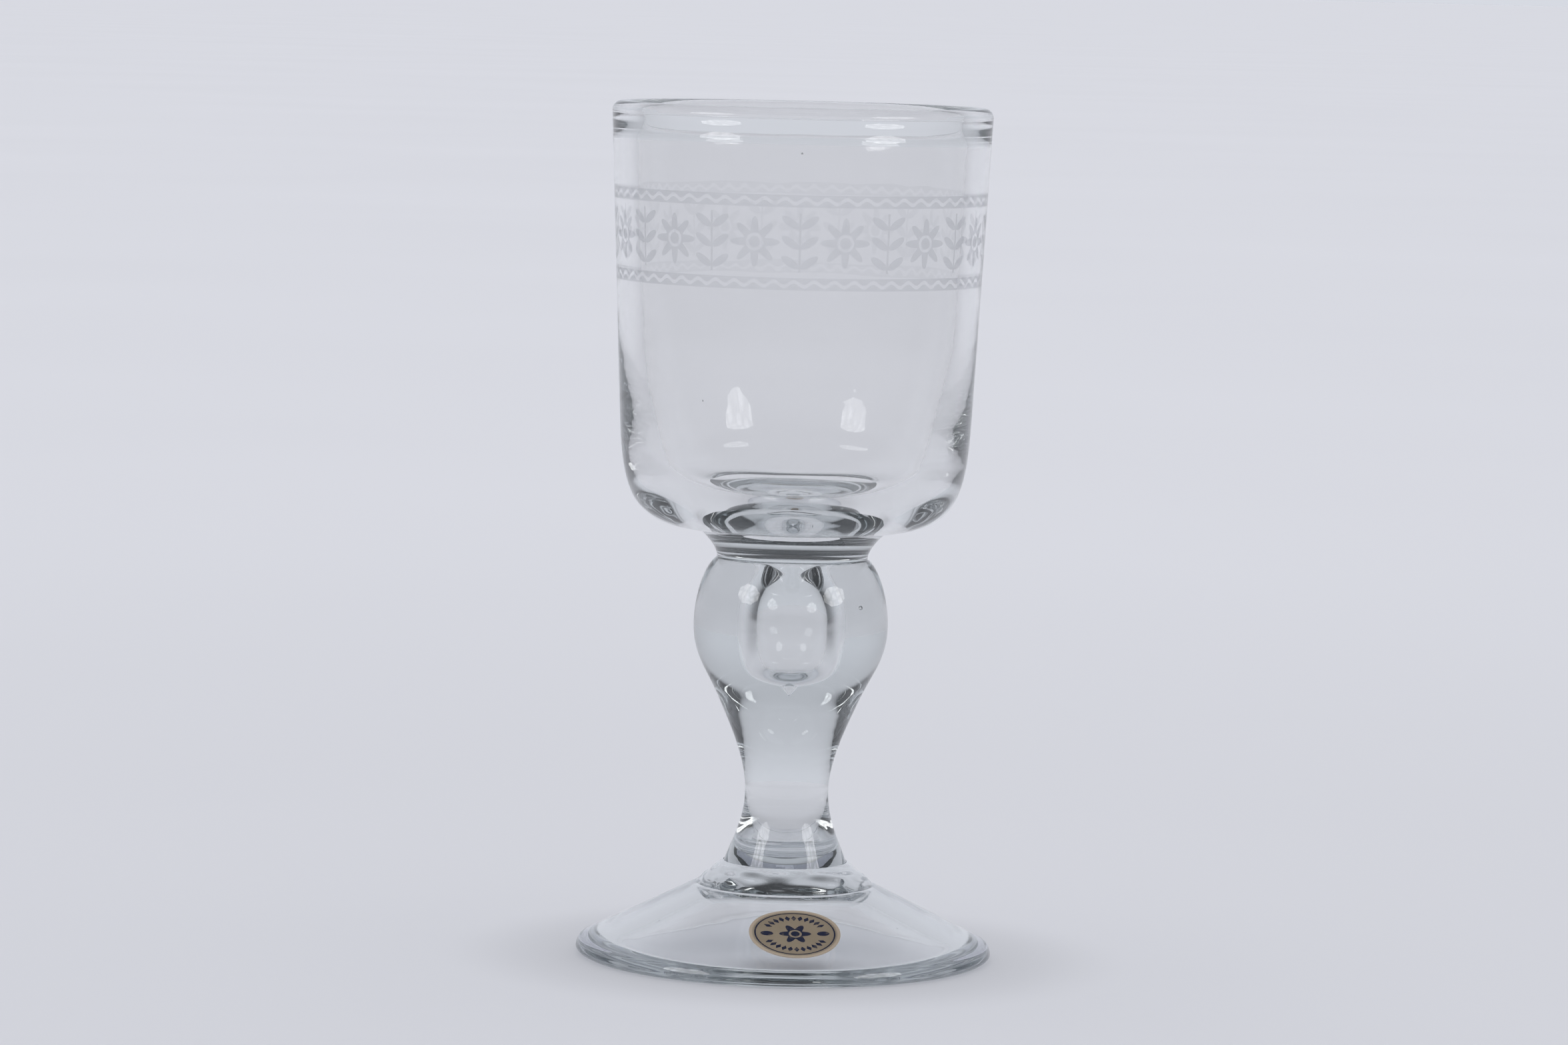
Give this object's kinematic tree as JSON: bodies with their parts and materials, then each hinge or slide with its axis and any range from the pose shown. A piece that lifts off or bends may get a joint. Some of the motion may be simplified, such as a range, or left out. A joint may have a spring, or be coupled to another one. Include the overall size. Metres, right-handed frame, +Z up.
{
  "type": "cordial glass",
  "caption": "Hand-made clear cordial glass with a tall tumbler-shaped bowl, a knopped stem holding an air tear, a hollow conical foot and a small foil label.",
  "frame": {"origin": "centre of the ring that the foot stands on, at the level of the table", "axes": "+Z up along the axis of the glass, front with the foil label towards -Y, +X to the right seen from the front"},
  "size_m": [0.056, 0.056, 0.115],
  "materials": {
    "clear_glass": "fire-polished clear glass with a very slight grey-blue cast",
    "gold_foil": "gold foil paper with dark blue printing"
  },
  "bodies": {
    "root": {"bowl": "clear_glass", "merese": "clear_glass", "stem": "clear_glass", "foot_collar": "clear_glass", "foot": "clear_glass", "foil_label": "gold_foil"}
  },
  "joints": []
}
